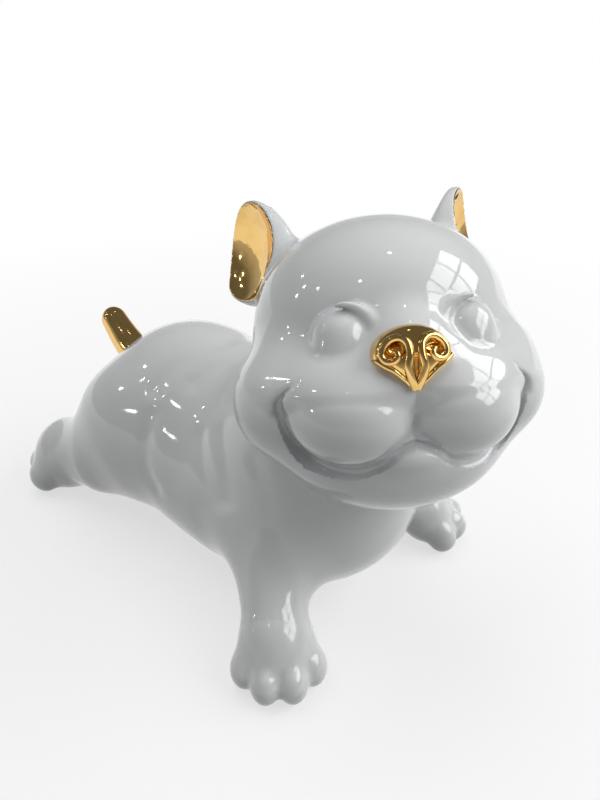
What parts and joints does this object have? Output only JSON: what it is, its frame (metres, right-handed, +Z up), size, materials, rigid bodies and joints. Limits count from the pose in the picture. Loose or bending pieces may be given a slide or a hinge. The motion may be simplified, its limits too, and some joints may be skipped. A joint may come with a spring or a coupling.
{
  "type": "porcelain dog figure",
  "caption": "White glazed porcelain puppy ornament lying stretched out, its head raised and turned, with gold nose, ear linings and tail; stands on its belly and paws.",
  "frame": {"origin": "on the flat under the belly that the figure rests on, at the middle of the trunk's length and width", "axes": "+Z up; -Y towards the front of the body, where the forelegs reach; +X towards the puppy's own left side"},
  "size_m": [0.1318, 0.2219, 0.1458],
  "materials": {
    "white_glaze": "glossy clear glaze over white porcelain",
    "gold_lustre": "bright fired-on gold lustre over glazed porcelain"
  },
  "bodies": {
    "root": {"torso": "white_glaze", "head": "white_glaze", "ear_left": "white_glaze", "ear_right": "white_glaze", "ear_linings": "gold_lustre", "nose": "gold_lustre", "foreleg_left": "white_glaze", "foreleg_right": "white_glaze", "hindleg_left": "white_glaze", "hindleg_right": "white_glaze", "tail": "gold_lustre"}
  },
  "joints": []
}
